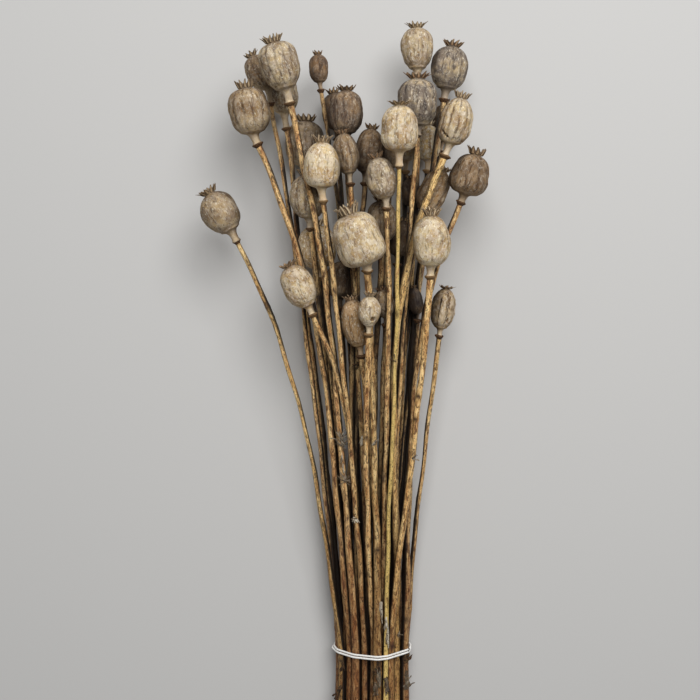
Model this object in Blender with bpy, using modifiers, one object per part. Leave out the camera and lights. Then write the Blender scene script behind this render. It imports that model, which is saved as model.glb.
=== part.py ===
"""A tied bunch of dried poppy seed heads, lying on a surface with the heads towards +Y.

Each poppy is one grown piece: a stem, the collar on top of it, and the ribbed capsule with its
neck and its crown of rays. A thin elastic band goes twice round the stems.
"""

import math
from typing import NamedTuple

import bmesh
import bpy
import numpy as np
from mathutils import Matrix, Vector

MM = 0.001

# How the bunch is seen from straight above, in mm
EYE = 950.0  # from the eye to the middle height of the bunch
MIDDLE = 60.0  # that height above the surface
SIGHT = (-18.9, 250.0)  # where the line of sight meets the surface, from the tie

# The stems, in mm
TAPER_AT = (0, 0.25, 0.55, 1)  # shares of the way from the tie to a stem's collar
TAPER = (1.4, 1.15, 0.92, 1)  # how thick it is there, beside its top
CUT_BELOW_TIE = (76.0, 98.0)
ENTRY = 13.0  # a stem runs straight for this length below its collar
KNOT_STEP = 60.0
SPLAY_AT_TIE = 0.7  # share of a stem's mean slope that it already has at the tie
LIFT_AT_HEAD = 1.15  # how many times its mean rise a stem has at its head
COLLAR_FLARE = 1.8
COLLAR_HIGH = 2.0
COLLAR_ROWS = ((-COLLAR_HIGH, 1), (-0.8, COLLAR_FLARE), (0, COLLAR_FLARE), (0.8, 1.26))

# The head, as shares of the capsule's width
NECK_FOOT = 0.105
NECK_TOP = 0.18
CROWN_FLOOR = 0.04  # its height over the capsule's top, in the middle of the crown
CROWN_ROOT = 0.17
CROWN_ROOT_LOW = 0.01
CROWN_TIP = 0.29
CROWN_NOTCH = 0.20
CROWN_HIGH = 0.20
RIB_DEPTH = 0.08
BARREL = (3.3, 2.6)  # below and above its middle: 2 is an ellipse, and more is squarer
ROWS = (0.86, 0.38, -0.22, -0.68, -0.93)  # where its profile has a point, in half lengths
NECK_ROWS = (0.97, 0.45)  # where the neck's profile has one, as shares of its length
NOTCH_DEEP = 0.7  # as a share of the crown's height
SUNK = 0.1  # how far the neck reaches into the collar, in mm

# The tie and the packing of the stems in it, in mm
BAND_THICK = 1.6
BAND_APART = 1.1  # each strand's distance from the middle of the band
BAND_CLEAR = 0.35
BAND_TILT = 0.16  # how much the band's top is nearer to the cut ends than its bottom
BAND_MIDDLE = 32.0  # height at which it is in its place along the stems
BAND_CORNER = math.radians(20)  # between two points of the line round a stem
BAND_CROSSING = math.radians(194)  # where one strand crosses the other, low on the left
CROSSING_SPAN = 0.16  # how far from the crossing the strands come apart, in radians
CROSSING_LIFT = 1.15  # how far one strand rises over the other there, in thicknesses
LIFT_SPAN = 0.34  # how far from the crossing it starts to rise, in radians
TIE_ROWS = (6, 8, 9, 8, 5, 2)  # stems in each row, from the surface up
TIE_CREST = 1.0  # how far the top row is shifted to the right, in pitches
TIE_PITCH = 6.6
BAND_LIFT = 2.1  # the band holds the stems this far off the surface
NEAR_BAND = 60.0  # up to this far from it
REST = 0.82  # height of a head's middle that lies on the surface, in half widths

# How the pieces find room beside each other
GAP = 0.55
SURFACE_GAP = 0.3
HEAD_SPARE = (1.0, 2.0)  # what is added to a body's half length and over its crown
LEVEL_STEP = 6.0
ROUNDS = 700
SETTLING = 0.75  # share of the rounds in which a piece is still drawn to its place
HEAD_SHARE = 0.35  # how easily a head gives way, where a stem's share is 1
HURRY = 0.8  # share of a push that is followed in one round
HEAD_FOLLOWS = 0.3  # share of its stem's move that a head makes too
HEAD_KEEPS = (0.95, 0.985)  # what a head keeps of its moves, sideways and up, each round
TIE_KEEPS = 0.97  # the same for the stems at the tie
EVENING = 0.12  # how strongly a knot follows its neighbours
TINY = 1e-6
SEED = 12


class Poppy(NamedTuple):
    """Places and sizes as seen from above, in mm from the line of sight. Angles are in degrees
    from the length of the bunch, to the right. Height is above the surface."""

    across: float
    along: float
    height: float
    wide: float
    tall: float
    lean: float
    stem_lean: float
    neck: float
    stem: float
    ribs: int
    tone: str


PALE, TAN, GREY, DARK = "pale_capsule", "tan_capsule", "grey_capsule", "dark_capsule"

POPPIES = (
    # the front layer
    Poppy(-56, 227, 88, 32, 38, -16, -14, 11, 5.2, 7, PALE),
    Poppy(-80.5, 191, 74, 33, 36, -9, -24, 9, 5.2, 7, TAN),
    Poppy(-23, 148, 90, 29, 36, 1, -8, 11, 4.4, 7, PALE),
    Poppy(39.5, 177.5, 96, 30, 36, 0, 0, 12, 3.4, 7, PALE),
    Poppy(25, 137.5, 82, 24, 33, -14, -2, 8, 4.4, 7, GREY),
    Poppy(84.5, 183, 80, 27, 37, 14, 24, 10, 5.6, 7, PALE),
    Poppy(65, 87.5, 88, 30, 40, 0, 3, 9, 5.0, 7, PALE),
    Poppy(6.5, 89, 92, 39, 42, -20, -3, 6, 5.4, 8, PALE),
    Poppy(-41, 51, 76, 26, 35, -26, -25, 8, 4.4, 7, PALE),
    Poppy(4, 21.5, 66, 22, 38, -11, -8, 8, 5.0, 6, TAN),
    Poppy(15.5, 31, 88, 18, 24, 2, 2, 7, 4.6, 6, PALE),
    Poppy(95, 140, 68, 31, 32, 16, 22, 7, 4.6, 7, DARK),
    Poppy(-103.5, 110, 60, 30, 34, -30, -27, 9, 3.8, 7, TAN),
    # the middle layers
    Poppy(-3, 157, 72, 20, 32, -10, -3, 8, 4.4, 6, TAN),
    Poppy(54, 197, 60, 33, 37, 0, 3, 7, 4.0, 6, DARK),
    Poppy(-3, 190, 58, 27, 34, 0, -2, 8, 4.4, 6, DARK),
    Poppy(17, 159, 56, 23, 35, 8, 3, 8, 4.4, 6, TAN),
    Poppy(-71, 221, 50, 22, 28, -27, -10, 12, 3.8, 6, TAN),
    Poppy(54.5, 241, 50, 26, 33, -2, 1, 9, 4.4, 6, PALE),
    Poppy(-54.5, 205, 36, 25, 30, -3, -9, 12, 4.4, 6, PALE),
    Poppy(67, 127, 52, 23, 36, 25, 14, 8, 4.4, 6, TAN),
    Poppy(22.5, 102.5, 48, 25, 32, 0, 1, 8, 4.6, 6, TAN),
    Poppy(27, 37, 54, 17, 22, -10, 2, 6, 4.2, 6, TAN),
    Poppy(78, 225, 40, 29, 34, 9, 11, 8, 4.6, 6, GREY),
    Poppy(-25, 225, 36, 16, 22, -4, -9, 6, 3.4, 6, DARK),
    Poppy(-32, 121, 44, 28, 34, -4, -6, 8, 4.6, 6, DARK),
    Poppy(-26.5, 83, 38, 30, 34, -4, -6, 8, 4.6, 6, TAN),
    Poppy(74.5, 33, 46, 20, 32, 8, 7, 6, 3.8, 6, PALE),
    # the layer at the back, some of it on the surface
    Poppy(-6.5, 56, 34, 26, 29, 10, -3, 8, 4.6, 6, DARK),
    Poppy(32, 159, 44, 19, 26, 0, 1, 7, 4.2, 6, TAN),
    Poppy(42.5, 89.5, 34, 19, 28, 6, 3, 7, 4.2, 6, DARK),
    Poppy(51, 39, 34, 12, 21, -10, 2, 5, 3.6, 6, DARK),
    Poppy(74.5, 181, 9, 23, 29, 8, 10, 8, 4.6, 6, DARK),
    Poppy(-36, 165, 13, 32, 35, 2, -7, 8, 4.8, 6, DARK),
    Poppy(-12, 191, 22, 21, 28, -6, -4, 8, 4.2, 6, DARK),
    Poppy(47.5, 126.5, 30, 16, 22, -5, 2, 6, 3.8, 6, DARK),
    Poppy(61.5, 165.5, 26, 20, 28, 0, 4, 8, 4.2, 6, TAN),
    Poppy(46.5, 165, 22, 19, 27, -6, 2, 8, 4.2, 6, TAN),
)


class Laid:
    """One poppy in its place: the way its stem runs, and where its head sits, in mm."""

    def __init__(self, poppy, slot, chance):
        nearer = (EYE - (poppy.height - MIDDLE)) / EYE
        self.poppy = poppy
        self.slot = slot
        self.wide = poppy.wide * nearer
        self.half = poppy.tall * nearer / 2
        self.neck = poppy.neck * nearer
        self.crown = CROWN_HIGH * self.wide
        self.stem = poppy.stem * nearer / 2
        self.centre = np.array(
            [
                SIGHT[0] + poppy.across * nearer,
                SIGHT[1] + poppy.along * nearer,
                poppy.height,
            ]
        )
        rise = math.atan(LIFT_AT_HEAD * (self.centre[2] - slot[1]) / self.centre[1])
        self.axis = pointing(poppy.lean, rise)
        self.up_stem = pointing(poppy.stem_lean, rise)
        self.foot = self.centre - self.axis * self.half
        self.collar = self.foot - self.up_stem * self.neck
        self.cut = -chance.uniform(*CUT_BELOW_TIE)
        self.roll = chance.uniform(0, math.tau)
        self.knots = self.first_knots()

    def first_knots(self):
        """A smooth way from the cut end through the tie to the collar, before it makes room."""
        entry = self.collar - self.up_stem * ENTRY
        spans = math.ceil(entry[1] / KNOT_STEP)
        heights = np.linspace(0, entry[1], spans + 1)
        t = (heights / entry[1])[:, None]
        start = np.array(self.slot)
        end = entry[[0, 2]]
        leaves = (end - start) * SPLAY_AT_TIE
        arrives = self.up_stem[[0, 2]] / self.up_stem[1] * entry[1]
        sideways = (
            (2 * t**3 - 3 * t**2 + 1) * start
            + (t**3 - 2 * t**2 + t) * leaves
            + (3 * t**2 - 2 * t**3) * end
            + (t**3 - t**2) * arrives
        )
        above = np.column_stack([sideways[:, 0], heights, sideways[:, 1]])
        below = [[start[0], y, start[1]] for y in (self.cut, self.cut / 2)]
        return np.vstack([below, above, self.collar])

    def stem_radius(self, y):
        return self.stem * np.interp(y / self.collar[1], TAPER_AT, TAPER)

    def capsule_radius(self, share):
        """At a share of the half length from the middle, towards the crown."""
        power = np.where(share < 0, *BARREL)
        return self.wide / 2 * np.clip(1 - np.abs(share) ** power, 0, 1) ** (1 / power)

    def radius_at(self, levels):
        """The poppy's radius where each level cuts it, 0 where there is none of it."""
        up = (levels - self.centre[1]) / self.axis[1]
        body = self.capsule_radius(up / (self.half + HEAD_SPARE[0])) / self.axis[1]
        neck = max(self.stem * COLLAR_FLARE, NECK_TOP * self.wide) / self.up_stem[1]
        crown = CROWN_TIP * self.wide / self.axis[1]
        head = np.maximum(body, np.where(up < 0, neck, crown))
        head[up > self.half + self.crown + HEAD_SPARE[1]] = 0
        head[levels < self.collar[1] - COLLAR_HIGH] = 0
        stem = self.stem_radius(levels) / self.up_stem[1]
        stem[(levels < self.cut) | (levels > self.collar[1])] = 0
        return np.maximum(head, stem)

    def head_line(self, levels):
        """Where the middle of the head and of its neck is at each level, as (x, z)."""
        body = self.centre + ((levels - self.centre[1]) / self.axis[1])[:, None] * self.axis
        neck = self.foot + ((levels - self.foot[1]) / self.up_stem[1])[:, None] * self.up_stem
        return np.where(levels[:, None] < self.foot[1], neck, body)[:, [0, 2]]

    def shift(self, knots, head):
        self.knots[:, [0, 2]] = knots
        for point in (self.centre, self.foot, self.collar):
            point[[0, 2]] += head


def pointing(lean, rise):
    """A direction towards +Y, turned to the right by the lean in degrees and up by the rise."""
    lean = math.radians(lean)
    return np.array(
        [math.sin(lean) * math.cos(rise), math.cos(lean) * math.cos(rise), math.sin(rise)]
    )


def tie_slots(poppies):
    """Each poppy's place in the tie: rows from the surface up, and left to right as the heads."""
    order = sorted(range(len(poppies)), key=lambda i: poppies[i].height)
    slots = {}
    height = BAND_LIFT + TIE_PITCH / 2
    for count in TIE_ROWS:
        row = sorted(order[:count], key=lambda i: poppies[i].across)
        crest = TIE_CREST if count == TIE_ROWS[-1] else 0
        order = order[count:]
        for place, i in enumerate(row):
            slots[i] = ((place - (count - 1) / 2 + crest) * TIE_PITCH, height)
        height += TIE_PITCH * math.sqrt(3) / 2
    return [slots[i] for i in range(len(poppies))]


def knot_shares(laid, levels):
    """How much each knot of a stem counts at each level, and 0 where the stem isn't."""
    ys = laid.knots[:, 1]
    shares = np.zeros((len(levels), len(ys)))
    for k in range(len(ys)):
        only = np.zeros(len(ys))
        only[k] = 1
        shares[:, k] = np.interp(levels, ys, only)
    shares[(levels < ys[0]) | (levels > ys[-1])] = 0
    return shares


def make_room(bunch):
    """Moves stems and heads apart in the planes across the bunch, until none touch."""
    lowest = min(p.cut for p in bunch)
    highest = max(p.centre[1] + 2 * p.half for p in bunch)
    levels = np.arange(lowest, highest, LEVEL_STEP)
    radii = np.stack([p.radius_at(levels) for p in bunch], axis=1)
    present = radii > 0
    needed = radii[:, :, None] + radii[:, None, :] + GAP
    pairs = present[:, :, None] & present[:, None, :]
    pairs &= ~np.eye(len(bunch), dtype=bool)
    on_head = levels[:, None] > np.array([p.collar[1] for p in bunch])[None, :]
    gives = np.where(on_head, HEAD_SHARE, 1.0)
    share = gives[:, :, None] / (gives[:, :, None] + gives[:, None, :])
    floor = np.where(levels < NEAR_BAND, BAND_LIFT, SURFACE_GAP)
    rests = np.where(on_head, radii * REST, radii + floor[:, None])
    knots = [p.knots[:, [0, 2]].copy() for p in bunch]
    first = [k.copy() for k in knots]
    weights = [knot_shares(p, levels) for p in bunch]
    heads = [p.head_line(levels) for p in bunch]
    moved = np.zeros((len(bunch), 2))
    for turn in range(ROUNDS):
        places = np.stack(
            [
                np.where(on_head[:, i : i + 1], heads[i] + moved[i], weights[i] @ knots[i])
                for i in range(len(bunch))
            ],
            axis=1,
        )
        apart = places[:, :, None] - places[:, None, :]
        distance = np.maximum(np.linalg.norm(apart, axis=3), TINY)
        short = np.where(pairs, np.maximum(needed - distance, 0), 0)
        push = (apart / distance[..., None] * (short * share)[..., None]).sum(axis=2)
        push[..., 1] += np.where(present, np.maximum(rests - places[..., 1], 0), 0)
        touched = np.abs(push).sum(axis=2) > 0
        settling = turn < ROUNDS * SETTLING
        for i in range(len(bunch)):
            by_level = push[:, i]
            active = touched[:, i] & ~on_head[:, i]
            felt = weights[i].T @ (by_level * active[:, None])
            total = weights[i].T @ active.astype(float)
            step = felt / np.maximum(total, TINY)[:, None]
            rigid = touched[:, i] & on_head[:, i]
            head_step = by_level[rigid].mean(axis=0) if rigid.any() else np.zeros(2)
            head_step = head_step + HEAD_FOLLOWS * step[-2:].mean(axis=0)
            knots[i] += HURRY * step
            moved[i] += HURRY * head_step
            if settling:
                moved[i] *= HEAD_KEEPS
                drift = knots[i] - first[i]
                drift[1:-2] += EVENING * (drift[:-3] + drift[2:-1] - 2 * drift[1:-2])
                drift[:3] *= TIE_KEEPS
                knots[i] = first[i] + drift
            knots[i][-2:] = first[i][-2:] + moved[i]
    for i, p in enumerate(bunch):
        p.shift(knots[i], moved[i])
    return bunch


def lay_bunch():
    chance = np.random.default_rng(SEED)
    slots = tie_slots(POPPIES)
    return make_room([Laid(p, s, chance) for p, s in zip(POPPIES, slots)])


def new_object(name, mesh, collection):
    obj = bpy.data.objects.new(name, mesh)
    collection.objects.link(obj)
    return obj


def mesh_of(obj):
    """The object's evaluated mesh in world space, welded. The object is removed."""
    bpy.context.view_layer.update()
    graph = bpy.context.evaluated_depsgraph_get()
    mesh = bpy.data.meshes.new_from_object(obj.evaluated_get(graph))
    mesh.transform(obj.matrix_world)
    bpy.data.objects.remove(obj)
    soft = bmesh.new()
    soft.from_mesh(mesh)
    bmesh.ops.remove_doubles(soft, verts=soft.verts, dist=TINY)
    soft.to_mesh(mesh)
    soft.free()
    return mesh


def tube(name, points, radii, collection, closed=False):
    """A six-sided tube along points in mm."""
    curve = bpy.data.curves.new(name, "CURVE")
    curve.dimensions = "3D"
    curve.bevel_depth = MM
    curve.bevel_resolution = 1
    curve.use_fill_caps = not closed
    spline = curve.splines.new("POLY")
    spline.points.add(len(points) - 1)
    for point, place, radius in zip(spline.points, points, radii):
        point.co = (*(Vector(place) * MM), 1)
        point.radius = radius
    spline.use_cyclic_u = closed
    return new_object(name, curve, collection)


def stem_with_collar(laid, collection):
    points = list(laid.knots[:-1])
    radii = [laid.stem_radius(p[1]) for p in points]
    for above, reach in COLLAR_ROWS:
        points.append(laid.collar + laid.up_stem * above)
        radii.append(laid.stem * reach)
    return tube("stem", points, radii, collection)


def head_profile(laid):
    """(radius at a rib, radius between ribs, height over the collar) from the crown down, in mm.
    The crown's rim has no one height: it rises to a ray at each rib."""
    wide = laid.wide
    middle = laid.neck + laid.half
    top = middle + laid.half
    rows = [
        (0, 0, top + CROWN_FLOOR * wide),
        (CROWN_TIP * wide, CROWN_NOTCH * wide, None),
        (CROWN_ROOT * wide, CROWN_ROOT * wide, top - CROWN_ROOT_LOW * wide),
    ]
    for share in ROWS:
        rib = laid.capsule_radius(share)
        rows.append((rib, rib * (1 - RIB_DEPTH), middle + share * laid.half))
    for reach, share in zip((NECK_TOP, NECK_FOOT), NECK_ROWS):
        rows.append((reach * wide, reach * wide, laid.neck * share))
    rows.append((laid.stem, laid.stem, -SUNK))
    rows.append((0, 0, -SUNK))
    return rows


def roll_of(laid, turn):
    """How far the head is turned round its axis. On the surface it lies on two ribs."""
    if laid.centre[2] > laid.wide / 2:
        return laid.roll
    down = turn.transposed() @ Vector((0, 0, -1))
    return math.atan2(down.y, down.x) - math.pi / laid.poppy.ribs


def head(laid, collection):
    """The turned head: its profile goes round in two steps a rib, then ribs and rays are raised."""
    rows = head_profile(laid)
    tip = laid.neck + 2 * laid.half + laid.crown
    notch = tip - NOTCH_DEEP * laid.crown
    outline = bmesh.new()
    points = [outline.verts.new((rib * MM, 0, (h or tip) * MM)) for rib, _, h in rows]
    for a, b in zip(points, points[1:]):
        outline.edges.new((a, b))
    mesh = bpy.data.meshes.new("head")
    outline.to_mesh(mesh)
    outline.free()
    turned = new_object("head", mesh, collection)
    screw = turned.modifiers.new("turn", "SCREW")
    screw.steps = screw.render_steps = 2 * laid.poppy.ribs
    screw.use_merge_vertices = True
    screw.merge_threshold = 1e-5
    mesh = mesh_of(turned)
    step = math.pi / laid.poppy.ribs
    turn = Vector(laid.axis).to_track_quat("Z", "X").to_matrix()
    turn = turn @ Matrix.Rotation(roll_of(laid, turn), 3, "Z")
    for vertex in mesh.vertices:
        x, y, height = vertex.co / MM
        radius = math.hypot(x, y)
        rib, valley, h = min(rows, key=lambda row: abs((row[2] or tip) - height) + abs(row[0] - radius))
        if radius > SUNK and round(math.atan2(y, x) / step) % 2:
            x *= valley / rib
            y *= valley / rib
            height = h or notch
        over = height - laid.neck
        base = laid.foot + over * (laid.axis if over > 0 else laid.up_stem)
        vertex.co = (Vector(base) + turn @ Vector((x, y, 0))) * MM
    return new_object("head", mesh, collection)


def joined(name, body, other, collection):
    """Two pieces that have grown together, as one body."""
    union = body.modifiers.new("join", "BOOLEAN")
    union.operation = "UNION"
    union.solver = "EXACT"
    union.object = other
    mesh = mesh_of(body)
    bpy.data.objects.remove(other)
    return new_object(name, mesh, collection)


def rest_on_surface(mesh):
    """What would reach below the surface is pressed flat on it."""
    for vertex in mesh.vertices:
        vertex.co.z = max(vertex.co.z, 0)


def make_poppy(name, laid, collection):
    stem = new_object("stem", mesh_of(stem_with_collar(laid, collection)), collection)
    poppy = joined(name, head(laid, collection), stem, collection)
    rest_on_surface(poppy.data)
    poppy.data.materials.append(material(laid.poppy.tone))
    poppy.data.shade_smooth()
    poppy.data.set_sharp_from_angle(angle=math.radians(35))
    return poppy


def band_place(height):
    """Where the tilted band is along the stems, at a height over the surface."""
    return (BAND_MIDDLE - height) * BAND_TILT


def around_stems(bunch):
    """The line that a taut band takes round the stems at the tie, as (x, z) in mm."""
    strand = BAND_THICK / 2
    edge = BAND_APART + strand
    points = []
    for laid in bunch:
        reach = (laid.stem_radius(0) + strand + BAND_CLEAR) / math.cos(BAND_CORNER / 2)
        tilted = band_place(np.interp(0, laid.knots[:, 1], laid.knots[:, 2]))
        for y in (tilted - edge, tilted + edge):
            x, z = (np.interp(y, laid.knots[:, 1], laid.knots[:, k]) for k in (0, 2))
            for step in range(round(math.tau / BAND_CORNER)):
                angle = step * BAND_CORNER
                points.append((x + reach * math.cos(angle), z + reach * math.sin(angle)))
    return convex_hull(points)


def convex_hull(points):
    """The outermost points, going round from the lowest."""
    points = sorted(points, key=lambda p: (p[1], p[0]))
    sides = []
    for side in (points, points[::-1]):
        line = []
        for p in side:
            while len(line) > 1 and turn_at(line[-2], line[-1], p) < 1e-3:
                line.pop()
            line.append(p)
        sides += line[:-1]
    return sides


def turn_at(a, b, c):
    return (b[0] - a[0]) * (c[1] - a[1]) - (b[1] - a[1]) * (c[0] - a[0])


def make_band(bunch, collection):
    """One closed strand that goes twice round, and crosses itself once, low on the left."""
    hull = around_stems(bunch)
    centre = np.mean(hull, axis=0)
    angles = [math.atan2(z - centre[1], x - centre[0]) % math.tau for x, z in hull]
    loop = sorted(zip([(a - BAND_CROSSING) % math.tau for a in angles], hull))
    points = []
    for lap in (0, 1):
        for angle, (x, z) in loop:
            near = min(angle, math.tau - angle)
            side = 1 if lap else -1
            swing = side * math.tanh(near / CROSSING_SPAN) * (1 if angle < math.pi else -1)
            apart = np.array([x, z]) - centre
            lift = BAND_THICK * CROSSING_LIFT * math.exp(-((near / LIFT_SPAN) ** 4)) if lap else 0
            apart *= 1 + lift / np.linalg.norm(apart)
            x, height = centre + apart
            points.append((x, band_place(height) + swing * BAND_APART, height))
    band = tube("band", points, [BAND_THICK / 2] * len(points), collection, closed=True)
    solid = new_object("tie_band", mesh_of(band), collection)
    solid.data.materials.append(material("white_band"))
    solid.data.shade_smooth()
    return solid


FINISHES = {
    "pale_capsule": ((0.56, 0.46, 0.33), 0.85),
    "tan_capsule": ((0.42, 0.32, 0.21), 0.85),
    "grey_capsule": ((0.33, 0.30, 0.27), 0.85),
    "dark_capsule": ((0.24, 0.19, 0.15), 0.85),
    "white_band": ((0.86, 0.85, 0.82), 0.6),
}


def material(name):
    found = bpy.data.materials.get(name)
    if found:
        return found
    colour, roughness = FINISHES[name]
    made = bpy.data.materials.new(name)
    made.use_nodes = True
    shader = made.node_tree.nodes["Principled BSDF"]
    shader.inputs["Base Color"].default_value = (*colour, 1)
    shader.inputs["Roughness"].default_value = roughness
    shader.inputs["Metallic"].default_value = 0
    return made


def centre_on_origin(objects):
    """Puts the origin on the surface, under the middle of the bunch."""
    corners = np.array([v.co for obj in objects for v in obj.data.vertices])
    middle = (corners.min(axis=0) + corners.max(axis=0)) / 2
    for obj in objects:
        obj.location = (-middle[0], -middle[1], 0)


def main():
    for obj in list(bpy.data.objects):
        bpy.data.objects.remove(obj)
    collection = bpy.data.collections.new("poppy_bunch")
    bpy.context.scene.collection.children.link(collection)
    bunch = lay_bunch()
    made = [
        make_poppy(f"poppy_{number:02}", laid, collection)
        for number, laid in enumerate(bunch, 1)
    ]
    made.append(make_band(bunch, collection))
    centre_on_origin(made)


main()
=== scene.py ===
import math
from typing import NamedTuple

import bmesh
import bpy
import numpy as np
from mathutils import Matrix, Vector, noise
from mathutils.bvhtree import BVHTree


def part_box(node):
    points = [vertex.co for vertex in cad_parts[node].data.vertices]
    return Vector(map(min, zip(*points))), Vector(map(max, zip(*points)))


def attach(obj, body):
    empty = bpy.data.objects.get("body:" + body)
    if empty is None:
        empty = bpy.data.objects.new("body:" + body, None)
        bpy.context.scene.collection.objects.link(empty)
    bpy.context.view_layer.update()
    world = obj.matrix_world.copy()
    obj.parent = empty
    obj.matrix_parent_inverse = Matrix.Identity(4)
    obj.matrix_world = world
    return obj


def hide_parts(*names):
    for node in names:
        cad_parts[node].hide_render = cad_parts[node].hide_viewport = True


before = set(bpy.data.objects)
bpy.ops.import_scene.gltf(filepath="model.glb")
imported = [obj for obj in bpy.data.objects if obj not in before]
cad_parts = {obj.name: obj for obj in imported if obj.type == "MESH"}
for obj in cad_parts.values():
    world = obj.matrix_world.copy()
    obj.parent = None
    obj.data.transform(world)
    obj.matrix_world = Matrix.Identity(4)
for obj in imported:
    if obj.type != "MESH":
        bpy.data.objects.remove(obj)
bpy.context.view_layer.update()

MM = 0.001

# How the bunch is seen from straight above, in mm
EYE = 950.0  # from the eye to the middle height of the bunch
MIDDLE = 60.0  # that height above the surface
SIGHT = (-18.9, 250.0)  # where the line of sight meets the surface, from the tie
SEEN = 560.0  # width of what is seen at that height

# The stems, in mm
TAPER_AT = (0, 0.25, 0.55, 1)  # shares of the way from the tie to a stem's collar
TAPER = (1.4, 1.15, 0.92, 1)  # how thick it is there, beside its top
CUT_BELOW_TIE = (76.0, 98.0)
ENTRY = 13.0  # a stem runs straight for this length below its collar
KNOT_STEP = 60.0
SPLAY_AT_TIE = 0.7  # share of a stem's mean slope that it already has at the tie
LIFT_AT_HEAD = 1.15  # how many times its mean rise a stem has at its head
COLLAR_FLARE = 1.8
COLLAR_HIGH = 2.0

# The head, as shares of the capsule's width
NECK_TOP = 0.18
CROWN_TIP = 0.29
CROWN_HIGH = 0.20
CROWN_FOOT = (0.15, 0.005)  # its radius, and how far it is over the capsule's top
CROWN_LEAN = (0.12, 0.8)  # in radians: upright, and what the widest spread adds
RAY_LONG = (0.20, 0.25)
RAY_BROAD = 1.35  # all the rays of a crown together
RAY_THICK = 0.045
BARREL = (3.3, 2.6)  # below and above its middle: 2 is an ellipse, and more is squarer

# Its skin. How deep anything is, is a share of its own radius
DENT_DEEP = 0.11
DENTS = 2.2  # across the capsule's width
FOLD_DEEP = 0.03
FOLDS = 8.0
VALLEY_DEEP = 0.05
TORN_DEEP = 0.22
MERGE = 3.4  # how sharply the neck, the body and the crown merge: more is sharper
NECK_ROWS = 9
FINE_ABOVE = 35.0  # heads higher than this, in mm, are near the eye and have a finer skin

# The stems' leaf scars, in mm, and how far they swell the stem
SCARS = (3, 7)  # from this many on a stem to fewer than this many
SCAR_LONG = 2.6
SCAR_SWELL = 0.13
SHADES = (0.82, 1.2)  # how much darker or lighter a stem may be

# The tie and the packing of the stems in it, in mm
BAND_THICK = 1.6
BAND_APART = 1.1  # each strand's distance from the middle of the band
BAND_CLEAR = 0.35
BAND_TILT = 0.16  # how much the band's top is nearer to the cut ends than its bottom
BAND_MIDDLE = 32.0  # height at which it is in its place along the stems
BAND_CORNER = math.radians(20)  # between two points of the line round a stem
BAND_CROSSING = math.radians(194)  # where one strand crosses the other, low on the left
CROSSING_SPAN = 0.16  # how far from the crossing the strands come apart, in radians
CROSSING_LIFT = 1.15  # how far one strand rises over the other there, in thicknesses
LIFT_SPAN = 0.34  # how far from the crossing it starts to rise, in radians
TIE_ROWS = (6, 8, 9, 8, 5, 2)  # stems in each row, from the surface up
TIE_CREST = 1.0  # how far the top row is shifted to the right, in pitches
TIE_PITCH = 6.6
BAND_LIFT = 2.1  # the band holds the stems this far off the surface
NEAR_BAND = 60.0  # up to this far from it
REST = 0.82  # height of a head's middle that lies on the surface, in half widths

# How the pieces find room beside each other
GAP = 0.55
SURFACE_GAP = 0.3
HEAD_SPARE = (1.0, 2.0)  # what is added to a body's half length and over its crown
LEVEL_STEP = 6.0
ROUNDS = 700
SETTLING = 0.75  # share of the rounds in which a piece is still drawn to its place
HEAD_SHARE = 0.35  # how easily a head gives way, where a stem's share is 1
HURRY = 0.8  # share of a push that is followed in one round
HEAD_FOLLOWS = 0.3  # share of its stem's move that a head makes too
HEAD_KEEPS = (0.95, 0.985)  # what a head keeps of its moves, sideways and up, each round
TIE_KEEPS = 0.97  # the same for the stems at the tie
EVENING = 0.12  # how strongly a knot follows its neighbours
TINY = 1e-6
SEED = 12
SCRAP_SEEDS = 100  # added to a scrap's number, so that it doesn't repeat a poppy's

# The light in the room
LAMP = {"place": (0.30, 0.93, 1.65), "aim": (0.08, 0.30, 0), "size": 1.6, "power": 39}
ROOM_LIGHT = 0.14


class Poppy(NamedTuple):
    """Places and sizes as seen from above, in mm from the line of sight. Angles are in degrees
    from the length of the bunch, to the right. Height is above the surface."""

    across: float
    along: float
    height: float
    wide: float
    tall: float
    lean: float
    stem_lean: float
    neck: float
    stem: float
    tone: str


PALE, TAN, GREY, DARK = "pale_capsule", "tan_capsule", "grey_capsule", "dark_capsule"

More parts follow.
